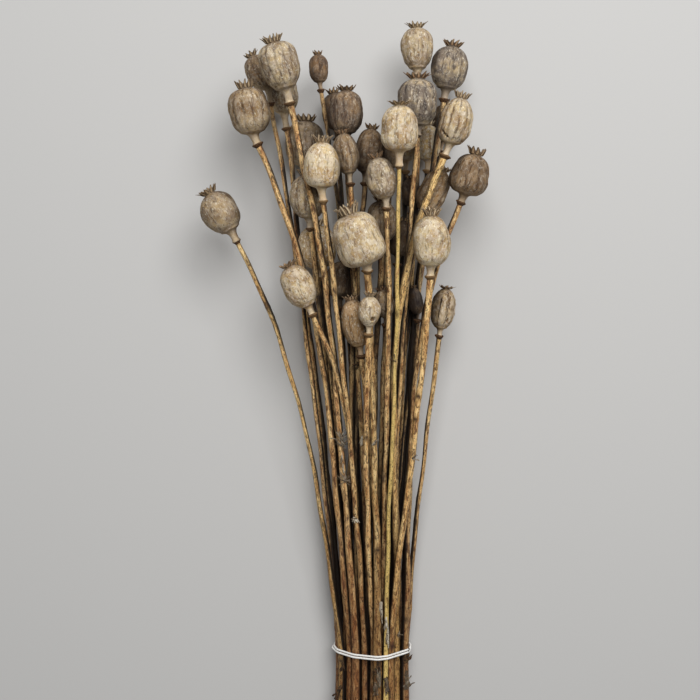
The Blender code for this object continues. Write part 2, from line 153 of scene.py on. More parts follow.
POPPIES = [Poppy(*row) for row in (
    # the front layer
    (-56, 227, 88, 32, 38, -16, -14, 11, 5.2, PALE),
    (-80.5, 191, 74, 33, 36, -9, -24, 9, 5.2, TAN),
    (-23, 148, 90, 29, 36, 1, -8, 11, 4.4, PALE),
    (39.5, 177.5, 96, 30, 36, 0, 0, 12, 3.4, PALE),
    (25, 137.5, 82, 24, 33, -14, -2, 8, 4.4, GREY),
    (84.5, 183, 80, 27, 37, 14, 24, 10, 5.6, PALE),
    (65, 87.5, 88, 30, 40, 0, 3, 9, 5.0, PALE),
    (6.5, 89, 92, 39, 42, -20, -3, 6, 5.4, PALE),
    (-41, 51, 76, 26, 35, -26, -25, 8, 4.4, PALE),
    (4, 21.5, 66, 22, 38, -11, -8, 8, 5.0, TAN),
    (15.5, 31, 88, 18, 24, 2, 2, 7, 4.6, PALE),
    (95, 140, 68, 31, 32, 16, 22, 7, 4.6, DARK),
    (-103.5, 110, 60, 30, 34, -30, -27, 9, 3.8, TAN),
    # the middle layers
    (-3, 157, 72, 20, 32, -10, -3, 8, 4.4, TAN),
    (54, 197, 60, 33, 37, 0, 3, 7, 4.0, DARK),
    (-3, 190, 58, 27, 34, 0, -2, 8, 4.4, DARK),
    (17, 159, 56, 23, 35, 8, 3, 8, 4.4, TAN),
    (-71, 221, 50, 22, 28, -27, -10, 12, 3.8, TAN),
    (54.5, 241, 50, 26, 33, -2, 1, 9, 4.4, PALE),
    (-54.5, 205, 36, 25, 30, -3, -9, 12, 4.4, PALE),
    (67, 127, 52, 23, 36, 25, 14, 8, 4.4, TAN),
    (22.5, 102.5, 48, 25, 32, 0, 1, 8, 4.6, TAN),
    (27, 37, 54, 17, 22, -10, 2, 6, 4.2, TAN),
    (78, 225, 40, 29, 34, 9, 11, 8, 4.6, GREY),
    (-25, 225, 36, 16, 22, -4, -9, 6, 3.4, DARK),
    (-32, 121, 44, 28, 34, -4, -6, 8, 4.6, DARK),
    (-26.5, 83, 38, 30, 34, -4, -6, 8, 4.6, TAN),
    (74.5, 33, 46, 20, 32, 8, 7, 6, 3.8, PALE),
    # the layer at the back, some of it on the surface
    (-6.5, 56, 34, 26, 29, 10, -3, 8, 4.6, DARK),
    (32, 159, 44, 19, 26, 0, 1, 7, 4.2, TAN),
    (42.5, 89.5, 34, 19, 28, 6, 3, 7, 4.2, DARK),
    (51, 39, 34, 12, 21, -10, 2, 5, 3.6, DARK),
    (74.5, 181, 9, 23, 29, 8, 10, 8, 4.6, DARK),
    (-36, 165, 13, 32, 35, 2, -7, 8, 4.8, DARK),
    (-12, 191, 22, 21, 28, -6, -4, 8, 4.2, DARK),
    (47.5, 126.5, 30, 16, 22, -5, 2, 6, 3.8, DARK),
    (61.5, 165.5, 26, 20, 28, 0, 4, 8, 4.2, TAN),
    (46.5, 165, 22, 19, 27, -6, 2, 8, 4.2, TAN),
)]


class Look(NamedTuple):
    """How one poppy has dried. Grey, rust and straw run from 0 to 1, and a grey below 0 is ochre.
    Pale runs from 0 to 1, and above 1 it is painted light on a head that lies in deep shade. Top
    and foot are the roundness of the capsule's ends, as in BARREL, and egg is how much wider it is
    higher up."""

    pale: float
    grey: float
    rays: int
    top: float = 2.3
    foot: float = 2.6
    egg: float = 0.0
    spread: float = 0.45
    rust: float = 0.2
    straw: float = 0.1
    furrow: float = 1.0


LOOKS = [Look(*row) for row in (
    (0.60, 0.50, 13, 2.8, 2.2, 0.06, 0.35, 0.1, 0.1, 0.9),
    (0.35, 0.05, 12, 3.0, 2.5, 0.01, 0.15, 0.1, 0.1, 1.1),
    (0.88, 0.05, 11, 2.1, 2.8, -0.05, 0.40, 0.3, 0.1, 0.5),
    (0.86, 0.15, 9, 2.2, 3.2, -0.02, 0.95, 0.1, 1.0, 0.8),
    (0.58, 0.50, 11, 2.2, 2.4, -0.03, 0.60, 1.0, 0.1, 0.8),
    (0.70, 0.15, 12, 2.1, 2.5, -0.05, 0.25, 0.2, 0.3, 1.4),
    (0.82, 0.10, 11, 2.1, 2.7, -0.02, 0.30, 0.3, 0.2, 0.4),
    (0.82, 0.25, 13, 2.7, 3.6, -0.05, 0.25, 0.0, 0.2, 0.45),
    (0.72, 0.05, 10, 2.3, 2.3, 0.00, 0.80, 0.6, 0.1, 0.6),
    (0.50, -0.70, 11, 2.4, 2.4, -0.03, 0.60, 0.4, 0.1, 0.5),
    (0.80, 0.30, 9, 2.0, 2.0, 0.00, 0.50, 0.1, 0.1, 0.3),
    (0.15, 0.15, 9, 2.4, 2.9, -0.05, 0.25, 0.2, 0.1, 1.0),
    (0.38, 0.30, 10, 2.2, 2.1, 0.00, 0.55, 0.1, 0.3, 0.3),
    (0.26, 0.10, 9, 2.2, 2.3, 0.00, 0.60, 0.6),
    (0.46, 0.95, 11, 2.3, 2.4, 0.02, 0.80, 0.8, 0.1, 1.5),
    (0.10, 0.45, 10, 2.4, 2.5, 0.02, 0.70),
    (0.14, 0.10, 8, 2.3, 2.4),
    (0.26, 0.30, 9, 2.4, 2.3, 0.02, 0.50, 0.0),
    (0.62, 0.25, 11, 2.4, 2.1, 0.05, 0.60, 0.0, 0.1, 0.7),
    (0.55, 0.30, 9, 2.3, 2.2, 0.03),
    (0.34, -0.40, 10, 2.2, 2.5),
    (0.30, 0.20, 9),
    (0.32, 0.10, 8, 2.1, 2.2, 0.00, 0.80, 0.9),
    (0.46, 0.95, 11, 2.3, 2.3, 0.02, 0.70, 0.7, 0.1, 0.9),
    (0.00, 0.30, 8, 2.4, 2.3, 0.00, 0.40),
    (0.55, 0.30, 10, 2.3, 2.5),
    (2.00, -0.60, 11, 2.3, 2.6, 0.00, 0.45, 0.2, 0.1, 0.6),
    (0.46, 0.10, 8, 2.2, 2.3, 0.00, 0.90, 0.2, 0.2, 2.4),
    (0.14, 0.30, 9),
    (0.16, 0.20, 8),
    (0.10, 0.20, 8),
    (0.00, 0.90, 7),
    (0.14, 0.20, 9),
    (0.42, 0.30, 10, 2.4, 2.5, 0.00, 0.60, 0.1, 0.1, 1.3),
    (0.06, 0.30, 9),
    (0.04, 0.40, 8),
    (1.60, 0.00, 8),
    (0.90, -0.10, 8),
)]


class Break(NamedTuple):
    """A place where a capsule's wall is broken through, from one point to another. Each is an
    angle round the capsule in degrees, where -90 is uppermost, and a share of its length."""

    poppy: int
    start: tuple
    end: tuple
    wide: float  # in mm


BREAKS = [Break(*row) for row in (
    (11, (-74, 0.33), (-66, 0.24), 2.1),
    (6, (-143, 0.24), (-106, 0.10), 0.9),
    (28, (-60, 0.85), (-62, 0.15), 0.8),
    (28, (-112, 0.85), (-116, 0.20), 0.6),
)]


class Scrap(NamedTuple):
    """Withered leaf on the stems, placed as a poppy is, in mm and degrees. It is a fan of
    strips, and pale runs from 0 to 1."""

    across: float
    along: float
    long: float
    wide: float
    strips: int
    turn: float
    fan: float
    pale: float = 0.0


SCRAPS = [Scrap(*row) for row in (
    # two feathery tufts, and what hangs between them
    (-10, -71, 10, 0.8, 19, 60, 230, 0.25),
    (-7, -76, 8, 0.8, 12, 20, 200, 0.15),
    (-9, -84, 9, 1.0, 3, 182, 10, 0.7),
    (-8, -92, 8, 0.9, 3, 178, 12, 0.7),
    (-4, -105, 9, 0.8, 20, 10, 220, 0.2),
    (7, -70, 8, 1.0, 4, 182, 16, 0.9),
    # small dark ones higher up
    (4, -10, 9, 3.0, 3, 200, 60),
    (34, -9, 8, 0.9, 3, -40, 80, 0.1),
    (21, -75, 7, 2.0, 2, 30, 16, 0.3),
    (48, -87, 6, 1.6, 3, 60, 60, 0.3),
    (7, -135, 4, 1.8, 7, 170, 260, 0.6),
    # a long pale shred above the tie
    (27, -203, 15, 1.9, 4, 178, 6, 0.6),
    (29, -215, 15, 1.9, 4, 176, 6, 0.6),
    (30, -227, 12, 1.8, 4, 183, 8, 0.5),
    (40, -228, 5, 1.8, 3, 100, 80, 0.6),
    # dark leaf below it, at both edges and in the middle
    (46, -249, 11, 3.0, 3, 20, 30),
    (47, -258, 14, 3.0, 4, 172, 20, 0.1),
    (46, -270, 12, 2.6, 4, 30, 50, 0.2),
    (21, -246, 15, 2.6, 4, 184, 8),
    (25, -253, 19, 2.8, 5, 177, 10, 0.15),
    (31, -262, 17, 2.6, 4, 172, 12, 0.1),
    (24, -266, 16, 2.6, 4, 186, 10, 0.1),
    (-8, -250, 10, 2.4, 3, 190, 24),
    (-9, -270, 13, 3.0, 4, 205, 40),
)]


class Laid:
    """One poppy in its place: the way its stem runs, and where its head sits, in mm."""

    def __init__(self, poppy, slot, chance):
        nearer = (EYE - (poppy.height - MIDDLE)) / EYE
        self.poppy = poppy
        self.slot = slot
        self.wide = poppy.wide * nearer
        self.half = poppy.tall * nearer / 2
        self.neck = poppy.neck * nearer
        self.top = self.neck + 2 * self.half
        self.crown = CROWN_HIGH * self.wide
        self.stem = poppy.stem * nearer / 2
        x, y = (at + offset * nearer for at, offset in zip(SIGHT, (poppy.across, poppy.along)))
        self.centre = np.array([x, y, poppy.height])
        rise = math.atan(LIFT_AT_HEAD * (self.centre[2] - slot[1]) / self.centre[1])
        self.axis = pointing(poppy.lean, rise)
        self.up_stem = pointing(poppy.stem_lean, rise)
        self.foot = self.centre - self.axis * self.half
        self.collar = self.foot - self.up_stem * self.neck
        self.cut = -chance.uniform(*CUT_BELOW_TIE)
        self.roll = chance.uniform(0, math.tau)
        self.knots = self.first_knots()

    def first_knots(self):
        """A smooth way from the cut end through the tie to the collar, before it makes room."""
        entry = self.collar - self.up_stem * ENTRY
        spans = math.ceil(entry[1] / KNOT_STEP)
        heights = np.linspace(0, entry[1], spans + 1)
        t = (heights / entry[1])[:, None]
        start = np.array(self.slot)
        end = entry[[0, 2]]
        leaves = (end - start) * SPLAY_AT_TIE
        arrives = self.up_stem[[0, 2]] / self.up_stem[1] * entry[1]
        sideways = eased(t, start, leaves, end, arrives)
        above = np.column_stack([sideways[:, 0], heights, sideways[:, 1]])
        below = [[start[0], y, start[1]] for y in (self.cut, self.cut / 2)]
        return np.vstack([below, above, self.collar])

    def stem_radius(self, y):
        return self.stem * np.interp(y / self.collar[1], TAPER_AT, TAPER)

    def capsule_radius(self, share):
        """At a share of the half length from the middle, towards the crown."""
        power = np.where(share < 0, *BARREL)
        return self.wide / 2 * np.clip(1 - np.abs(share) ** power, 0, 1) ** (1 / power)

    def radius_at(self, levels):
        """The poppy's radius where each level cuts it, 0 where there is none of it."""
        up = (levels - self.centre[1]) / self.axis[1]
        body = self.capsule_radius(up / (self.half + HEAD_SPARE[0])) / self.axis[1]
        neck = max(self.stem * COLLAR_FLARE, NECK_TOP * self.wide) / self.up_stem[1]
        crown = CROWN_TIP * self.wide / self.axis[1]
        head = np.maximum(body, np.where(up < 0, neck, crown))
        head[up > self.half + self.crown + HEAD_SPARE[1]] = 0
        head[levels < self.collar[1] - COLLAR_HIGH] = 0
        stem = self.stem_radius(levels) / self.up_stem[1]
        stem[(levels < self.cut) | (levels > self.collar[1])] = 0
        return np.maximum(head, stem)

    def head_line(self, levels):
        """Where the middle of the head and of its neck is at each level, as (x, z)."""
        body = self.centre + ((levels - self.centre[1]) / self.axis[1])[:, None] * self.axis
        neck = self.foot + ((levels - self.foot[1]) / self.up_stem[1])[:, None] * self.up_stem
        return np.where(levels[:, None] < self.foot[1], neck, body)[:, [0, 2]]

    def shift(self, knots, head):
        self.knots[:, [0, 2]] = knots
        for point in (self.centre, self.foot, self.collar):
            point[[0, 2]] += head


def eased(t, start, leaves, end, arrives):
    """A smooth way from one place to another, with the slope it leaves and arrives at."""
    return (
        (2 * t**3 - 3 * t**2 + 1) * start
        + (t**3 - 2 * t**2 + t) * leaves
        + (3 * t**2 - 2 * t**3) * end
        + (t**3 - t**2) * arrives
    )


def table_at(places, known, table):
    """What a table's columns say at some places, where its rows are for the known ones."""
    return np.stack([np.interp(places, known, column) for column in table.T], axis=-1)


def lengths_along(points):
    steps = np.linalg.norm(np.diff(points, axis=0), axis=1)
    return np.concatenate([[0], np.cumsum(steps)])


def columns(x, y, z):
    return np.stack([x, y, z], axis=1)


def round_axis(reach, angle, heights):
    return columns(reach * np.cos(angle), reach * np.sin(angle), heights)


def pointing(lean, rise):
    """A direction towards +Y, turned to the right by the lean in degrees and up by the rise."""
    lean = math.radians(lean)
    return np.array(
        [math.sin(lean) * math.cos(rise), math.cos(lean) * math.cos(rise), math.sin(rise)]
    )


def tie_slots(poppies):
    """Each poppy's place in the tie: rows from the surface up, and left to right as the heads."""
    order = sorted(range(len(poppies)), key=lambda i: poppies[i].height)
    slots = {}
    height = BAND_LIFT + TIE_PITCH / 2
    for count in TIE_ROWS:
        row = sorted(order[:count], key=lambda i: poppies[i].across)
        crest = TIE_CREST if count == TIE_ROWS[-1] else 0
        order = order[count:]
        for place, i in enumerate(row):
            slots[i] = ((place - (count - 1) / 2 + crest) * TIE_PITCH, height)
        height += TIE_PITCH * math.sqrt(3) / 2
    return [slots[i] for i in range(len(poppies))]


def knot_shares(laid, levels):
    """How much each knot of a stem counts at each level, and 0 where the stem isn't."""
    ys = laid.knots[:, 1]
    shares = table_at(levels, ys, np.eye(len(ys)))
    shares[(levels < ys[0]) | (levels > ys[-1])] = 0
    return shares


def make_room(bunch):
    """Moves stems and heads apart in the planes across the bunch, until none touch."""
    lowest = min(p.cut for p in bunch)
    highest = max(p.centre[1] + 2 * p.half for p in bunch)
    levels = np.arange(lowest, highest, LEVEL_STEP)
    radii = np.stack([p.radius_at(levels) for p in bunch], axis=1)
    present = radii > 0
    needed = radii[:, :, None] + radii[:, None, :] + GAP
    pairs = present[:, :, None] & present[:, None, :]
    pairs &= ~np.eye(len(bunch), dtype=bool)
    on_head = levels[:, None] > np.array([p.collar[1] for p in bunch])[None, :]
    gives = np.where(on_head, HEAD_SHARE, 1.0)
    share = gives[:, :, None] / (gives[:, :, None] + gives[:, None, :])
    floor = np.where(levels < NEAR_BAND, BAND_LIFT, SURFACE_GAP)
    rests = np.where(on_head, radii * REST, radii + floor[:, None])
    knots = [p.knots[:, [0, 2]].copy() for p in bunch]
    first = [k.copy() for k in knots]
    weights = [knot_shares(p, levels) for p in bunch]
    heads = [p.head_line(levels) for p in bunch]
    moved = np.zeros((len(bunch), 2))
    for turn in range(ROUNDS):
        places = np.stack(
            [
                np.where(on_head[:, i : i + 1], heads[i] + moved[i], weights[i] @ knots[i])
                for i in range(len(bunch))
            ],
            axis=1,
        )
        apart = places[:, :, None] - places[:, None, :]
        distance = np.maximum(np.linalg.norm(apart, axis=3), TINY)
        short = np.where(pairs, np.maximum(needed - distance, 0), 0)
        push = (apart / distance[..., None] * (short * share)[..., None]).sum(axis=2)
        push[..., 1] += np.where(present, np.maximum(rests - places[..., 1], 0), 0)
        touched = np.abs(push).sum(axis=2) > 0
        settling = turn < ROUNDS * SETTLING
        for i in range(len(bunch)):
            by_level = push[:, i]
            active = touched[:, i] & ~on_head[:, i]
            felt = weights[i].T @ (by_level * active[:, None])
            total = weights[i].T @ active.astype(float)
            step = felt / np.maximum(total, TINY)[:, None]
            rigid = touched[:, i] & on_head[:, i]
            head_step = by_level[rigid].mean(axis=0) if rigid.any() else np.zeros(2)
            head_step = head_step + HEAD_FOLLOWS * step[-2:].mean(axis=0)
            knots[i] += HURRY * step
            moved[i] += HURRY * head_step
            if settling:
                moved[i] *= HEAD_KEEPS
                drift = knots[i] - first[i]
                drift[1:-2] += EVENING * (drift[:-3] + drift[2:-1] - 2 * drift[1:-2])
                drift[:3] *= TIE_KEEPS
                knots[i] = first[i] + drift
            knots[i][-2:] = first[i][-2:] + moved[i]
    for i, p in enumerate(bunch):
        p.shift(knots[i], moved[i])
    return bunch


def lay_bunch():
    chance = np.random.default_rng(SEED)
    slots = tie_slots(POPPIES)
    return make_room([Laid(p, s, chance) for p, s in zip(POPPIES, slots)])


def band_place(height):
    """Where the tilted band is along the stems, at a height over the surface."""
    return (BAND_MIDDLE - height) * BAND_TILT


def around_stems(bunch):
    """The line that a taut band takes round the stems at the tie, as (x, z) in mm."""
    strand = BAND_THICK / 2
    edge = BAND_APART + strand
    points = []
    for laid in bunch:
        reach = (laid.stem_radius(0) + strand + BAND_CLEAR) / math.cos(BAND_CORNER / 2)
        tilted = band_place(np.interp(0, laid.knots[:, 1], laid.knots[:, 2]))
        for y in (tilted - edge, tilted + edge):
            x, _, z = table_at(y, laid.knots[:, 1], laid.knots)
            for step in range(round(math.tau / BAND_CORNER)):
                angle = step * BAND_CORNER
                points.append((x + reach * math.cos(angle), z + reach * math.sin(angle)))
    return convex_hull(points)


def convex_hull(points):
    """The outermost points, going round from the lowest."""
    points = sorted(points, key=lambda p: (p[1], p[0]))
    sides = []
    for side in (points, points[::-1]):
        line = []
        for p in side:
            while len(line) > 1 and turn_at(line[-2], line[-1], p) < 1e-3:
                line.pop()
            line.append(p)
        sides += line[:-1]
    return sides


def turn_at(a, b, c):
    return (b[0] - a[0]) * (c[1] - a[1]) - (b[1] - a[1]) * (c[0] - a[0])


def band_route(bunch):
    """One closed strand that goes twice round, and crosses itself once, low on the left."""
    hull = around_stems(bunch)
    centre = np.mean(hull, axis=0)
    angles = [math.atan2(z - centre[1], x - centre[0]) % math.tau for x, z in hull]
    loop = sorted(zip([(a - BAND_CROSSING) % math.tau for a in angles], hull))
    points = []
    for lap in (0, 1):
        for angle, (x, z) in loop:
            near = min(angle, math.tau - angle)
            side = 1 if lap else -1
            swing = side * math.tanh(near / CROSSING_SPAN) * (1 if angle < math.pi else -1)
            apart = np.array([x, z]) - centre
            lift = BAND_THICK * CROSSING_LIFT * math.exp(-((near / LIFT_SPAN) ** 4)) if lap else 0
            apart *= 1 + lift / np.linalg.norm(apart)
            x, height = centre + apart
            points.append((x, band_place(height) + swing * BAND_APART, height))
    return np.array(points)


bunch = lay_bunch()
band_points = band_route(bunch)
tie_low, tie_high = (np.array(corner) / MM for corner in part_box("tie_band"))
ORIGIN = (band_points.min(axis=0) + band_points.max(axis=0) - tie_low - tie_high) / 2 * (1, 1, 0)


class Value:
    """A shader value. Arithmetic on it adds Math nodes."""

    def __init__(self, recipe, socket):
        self.recipe = recipe
        self.socket = socket

    def math(self, operation, *others, clamp=False):
        settings = {"operation": operation, "use_clamp": clamp}
        node = self.recipe.add("ShaderNodeMath", settings, dict(enumerate((self, *others))))
        return Value(self.recipe, node.outputs[0])

    def __add__(self, other):
        return self.math("ADD", other)

    def __sub__(self, other):
        return self.math("SUBTRACT", other)

    def __mul__(self, other):
        return self.math("MULTIPLY", other)

    def __rsub__(self, other):
        return self * -1 + other

    __radd__ = __add__
    __rmul__ = __mul__

    def clamped(self):
        return self.math("ADD", 0.0, clamp=True)

    def above(self, start, full):
        """0 up to the start, 1 from full on, and smooth between."""
        sockets = {"Value": self, "From Min": start, "From Max": full}
        node = self.recipe.add("ShaderNodeMapRange", {"interpolation_type": "SMOOTHSTEP"}, sockets)
        return Value(self.recipe, node.outputs[0])


class Recipe:
    """One material and the nodes that make its finish."""

    def __init__(self, name):
        self.material = bpy.data.materials.new(name)
        self.material.use_nodes = True
        self.tree = self.material.node_tree
        self.shader = self.tree.nodes["Principled BSDF"]
        (self.grain,) = self.read("grain", output="Vector")

    def add(self, kind, settings, sockets):
        """A node of a type, with its settings, and the values or links of its sockets."""
        node = self.tree.nodes.new(kind)
        for name, setting in settings.items():
            setattr(node, name, setting)
        for name, value in sockets.items():
            self.feed(node.inputs[name], value)
        return node

    def feed(self, socket, value):
        if isinstance(value, Value):
            self.tree.links.new(value.socket, socket)
        else:
            socket.default_value = value

    def read(self, *names, output="Fac"):
        """What is noted on the mesh under each name."""
        nodes = [self.add("ShaderNodeAttribute", {"attribute_name": name}, {}) for name in names]
        return [Value(self, node.outputs[output]) for node in nodes]

    def scaled(self, vector, scale):
        sockets = {0: vector, 1: scale}
        node = self.add("ShaderNodeVectorMath", {"operation": "MULTIPLY"}, sockets)
        return Value(self, node.outputs[0])

    def noise(self, scale, detail, rough=0.55, bend=0.0, stretch=1):
        """Spots of noise, which are longer along the poppy where the stretch is below 1."""
        vector = self.grain if stretch == 1 else self.scaled(self.grain, (1, 1, stretch))
        names = ("Vector", "Scale", "Detail", "Roughness", "Distortion")
        sockets = dict(zip(names, (vector, scale, detail, rough, bend)))
        return Value(self, self.add("ShaderNodeTexNoise", {}, sockets).outputs["Fac"])

    def cells(self, scale):
        node = self.add("ShaderNodeTexVoronoi", {}, {"Vector": self.grain, "Scale": scale})
        return Value(self, node.outputs["Distance"])

    def layers(self, base, *layers):
        """Colours laid over a base, each with its share. A colour is a Value, or red, green and
        blue as they look on a screen, from 0 to 255."""
        for shade, share in layers:
            sockets = {0: share, 6: on_screen(base), 7: on_screen(shade)}
            node = self.add("ShaderNodeMix", {"data_type": "RGBA"}, sockets)
            base = Value(self, node.outputs[2])
        return base

    def shaded(self, colour, factor):
        """A colour made darker or lighter by a factor."""
        grey = self.add("ShaderNodeCombineXYZ", {}, {0: factor, 1: factor, 2: factor})
        return self.scaled(colour, Value(self, grey.outputs[0]))

    def bump(self, height, strength, distance):
        sockets = {"Height": height, "Strength": strength, "Distance": distance}
        node = self.add("ShaderNodeBump", {}, sockets)
        self.feed(self.shader.inputs["Normal"], Value(self, node.outputs[0]))

    def finish(self, colour, roughness, specular=0.3):
        self.feed(self.shader.inputs["Base Color"], colour)
        self.feed(self.shader.inputs["Roughness"], roughness)
        self.shader.inputs["Specular IOR Level"].default_value = specular
        return self.material


def on_screen(shade):
    """The shader's linear values of a colour as it looks on a screen, from 0 to 255."""
    if isinstance(shade, Value):
        return shade
    levels = np.array(shade) / 255
    linear = np.where(levels > 0.04045, ((levels + 0.055) / 1.055) ** 2.4, levels / 12.92)
    return (*linear.tolist(), 1.0)


def capsule_finish():
    recipe = Recipe("dry_capsule")
    along, rib, pale, grey, shut = recipe.read("along", "rib", "pale", "grey", "shut")
    broad = recipe.noise(95, 3)
    streak = recipe.noise(400, 5, 0.62, 0.5, stretch=0.2)
    blotch = recipe.noise(250, 5, 0.65, 0.8)
    wrinkle = recipe.noise(620, 4, 0.6, 1.2, stretch=0.45)
    fleck = recipe.noise(1000, 3, 0.6)
    dust = recipe.noise(2600, 2)
    brown = recipe.layers((134, 104, 74), ((94, 72, 54), broad.above(0.4, 0.62)))
    cream = recipe.layers(
        (244, 226, 188),
        ((208, 176, 132), broad.above(0.42, 0.60)),
        ((226, 208, 186), blotch.above(0.46, 0.60) * 0.7),
    )
    lower = pale + (1 - along.above(0.0, 0.55)) * 0.14 + (blotch - 0.5) * 1.0
    body = along.above(0.02, 0.14)
    valley = (1 - rib.above(0.0, 0.75)) * body
    dark = recipe.layers((76, 54, 36), ((64, 58, 60), grey))
    pits = wrinkle.above(0.60, 0.70) * fleck.above(0.4, 0.6)
    neck = (1 - along.above(-0.2, 0.06)) * (pale * 0.4 + 0.3) * (1 - streak * 0.6)
    disc = recipe.layers((44, 31, 21), ((128, 100, 70), rib.above(0.25, 0.9)))
    skin = recipe.layers(
        brown,
        (cream, lower.clamped()),
        ((228, 192, 122), (1 - blotch).above(0.5, 0.62) * pale * 0.5),
        ((166, 124, 76), (grey * -0.8).clamped()),
        ((114, 106, 100), grey * broad.above(0.30, 0.56) * 0.8),
        # dark streaks gathered in the rib valleys: partly the capsule's own streaks, partly
        # painted shade in the furrows
        (dark, valley * streak.above(0.34, 0.56) * 0.75),
        (dark, body * streak.above(0.53, 0.63) * (0.85 - pale * 0.38)),
        ((170, 122, 66), wrinkle.above(0.55, 0.68) * (1 - grey) * 0.55),
        ((58, 40, 27), pits * 0.85),
        # painted highlight: near white crests on the body, stronger on pale heads
        ((250, 240, 218), body * (1 - wrinkle).above(0.54, 0.66) * (pale * 0.85 + 0.15)),
        ((52, 36, 24), fleck.above(0.65, 0.71) * 0.8),
        ((222, 200, 170), neck),
        ((104, 86, 68), along.above(0.90, 1.04) * 0.55),
        (disc, along.above(1.12, 1.2) * 0.9),
        # painted shade: near black brown where other poppies close round the head, less on pale
        # heads
        ((34, 22, 14), shut.above(0.1, 0.9) * (0.88 - pale * 0.34)),
    )
    skin = recipe.shaded(skin, dust * 0.3 + 0.85)
    height = streak * 0.5 + wrinkle * 0.6 + blotch * 0.6 + fleck * 0.25 + dust * 0.12
    recipe.bump(height, 0.8, 0.0013)
    return recipe.finish(skin, 0.92 - dust * 0.2, 0.2)


def stem_finish():
    recipe = Recipe("dry_stem")
    shade, straw, along, scar, shut = recipe.read("pale", "grey", "along", "rib", "shut")
    fibre = recipe.noise(1300, 3, 0.6, stretch=0.03)
    patch = recipe.noise(160, 4, 0.65, stretch=0.25)
    mottle = recipe.noise(480, 5, 0.7, 1.0, stretch=0.3)
    speck = recipe.noise(1000, 4, 0.7, stretch=0.6)
    low = 1 - along.above(0.05, 0.65)
    bark = recipe.layers(
        (200, 148, 88),
        ((254, 220, 160), fibre.above(0.40, 0.60)),
        ((160, 92, 44), patch.above(0.44, 0.62) * 0.6),
        ((108, 44, 11), low * 0.95),
        ((124, 106, 84), (1 - patch).above(0.58, 0.68) * (1 - low) * 0.5),
        ((252, 218, 130), straw * (1 - patch.above(0.58, 0.72)) * 0.85),
        ((76, 38, 16), mottle.above(0.49, 0.59) * (0.9 - straw * 0.5)),
        ((40, 20, 9), speck.above(0.54, 0.63) * 0.9),
        # painted highlight: pale lines along the stem, weaker towards the cut ends
        ((248, 212, 152), (1 - mottle).above(0.55, 0.64) * (0.72 - low * 0.47)),
        ((50, 32, 20), scar),
        # painted shade: near black where other stems and heads close round the stem, in the gaps
        # between them
        ((20, 9, 4), shut.above(0.2, 0.92) * 0.98),
    )
    recipe.bump(fibre * 0.7 - mottle * 0.8 - speck * 0.5 + patch * 0.4, 0.8, 0.0012)
    return recipe.finish(recipe.shaded(bark, shade), 0.6 - fibre * 0.2, 0.4)


def collar_finish():
    recipe = Recipe("collar_ring")
    (pale,) = recipe.read("pale")
    rough = recipe.noise(900, 4, 0.65)
    ring = recipe.layers(
        (58, 38, 24),
        ((112, 80, 50), rough.above(0.4, 0.65)),
        ((158, 126, 84), pale * 0.6),
    )
    recipe.bump(rough, 0.7, 0.0008)
    return recipe.finish(ring, 0.75 - rough * 0.1)


def ray_finish():
    recipe = Recipe("crown_ray")
    tip, pale, rust, middle = recipe.read("along", "pale", "grey", "rib")
    rough = recipe.noise(800, 4, 0.65)
    horn = recipe.layers(
        (112, 90, 64),
        ((168, 142, 106), rough.above(0.4, 0.62)),
        ((170, 96, 38), rust * rough.above(0.34, 0.6) * 0.9),
        ((232, 212, 176), middle * (pale * 0.8 + 0.1)),
        ((46, 32, 21), (1 - middle.above(0.05, 0.5)) * 0.85),
        ((62, 46, 32), tip.above(0.55, 0.95) * (0.8 - pale * 0.6)),
    )
    recipe.bump(rough, 0.6, 0.0006)
    return recipe.finish(horn, 0.8 - rough * 0.15)


def pith_finish():
    recipe = Recipe("cut_pith")
    pores = recipe.cells(2200)
    patch = recipe.noise(500, 3)
    pith = recipe.layers((222, 206, 172), ((150, 120, 78), patch.above(0.45, 0.7)))
    recipe.bump(pores, 0.7, 0.0005)
    return recipe.finish(recipe.shaded(pith, pores * 0.6 + 0.6), 0.9 - patch * 0.1)


def band_finish():
    recipe = Recipe("white_elastic")
    ribbing = recipe.noise(900, 2)
    white = recipe.layers((252, 251, 248), ((232, 229, 222), ribbing.above(0.4, 0.7)))
    recipe.bump(ribbing, 0.3, 0.0003)
    return recipe.finish(white, 0.55 - ribbing * 0.1)


def leaf_finish():
    recipe = Recipe("withered_leaf")
    (pale,) = recipe.read("pale")
    vein = recipe.noise(900, 4, 0.6)
    patch = recipe.noise(260, 3)
    leaf = recipe.layers(
        (40, 27, 16),
        ((108, 74, 44), vein.above(0.42, 0.62)),
        ((66, 62, 40), patch.above(0.44, 0.60) * 0.5),
        ((26, 18, 11), (1 - patch).above(0.50, 0.62) * 0.75),
        ((212, 200, 178), pale.clamped() * vein.above(0.28, 0.5)),
    )
    recipe.bump(vein, 0.7, 0.0008)
    return recipe.finish(leaf, 0.85 - vein * 0.1)


CAPSULE = capsule_finish()
STEM = stem_finish()
COLLAR = collar_finish()
RAY = ray_finish()
PITH = pith_finish()
BAND = band_finish()
LEAF = leaf_finish()


def added(name, data):
    obj = bpy.data.objects.new(name, data)
    bpy.context.scene.collection.objects.link(obj)
    return obj


def nothing_selected():
    for obj in bpy.context.selected_objects:
        obj.select_set(False)


def places_of(mesh):
    flat = np.empty(len(mesh.vertices) * 3)
    mesh.vertices.foreach_get("co", flat)
    return flat.reshape(-1, 3)


def put(mesh, places):
    mesh.vertices.foreach_set("co", np.ascontiguousarray(places, dtype=float).ravel())
    mesh.update()


def paint(mesh, name, values, kind="FLOAT"):
    field = "vector" if kind == "FLOAT_VECTOR" else "value"
    layer = mesh.attributes.new(name, kind, "POINT")
    layer.data.foreach_set(field, np.ascontiguousarray(values, dtype=float).ravel())


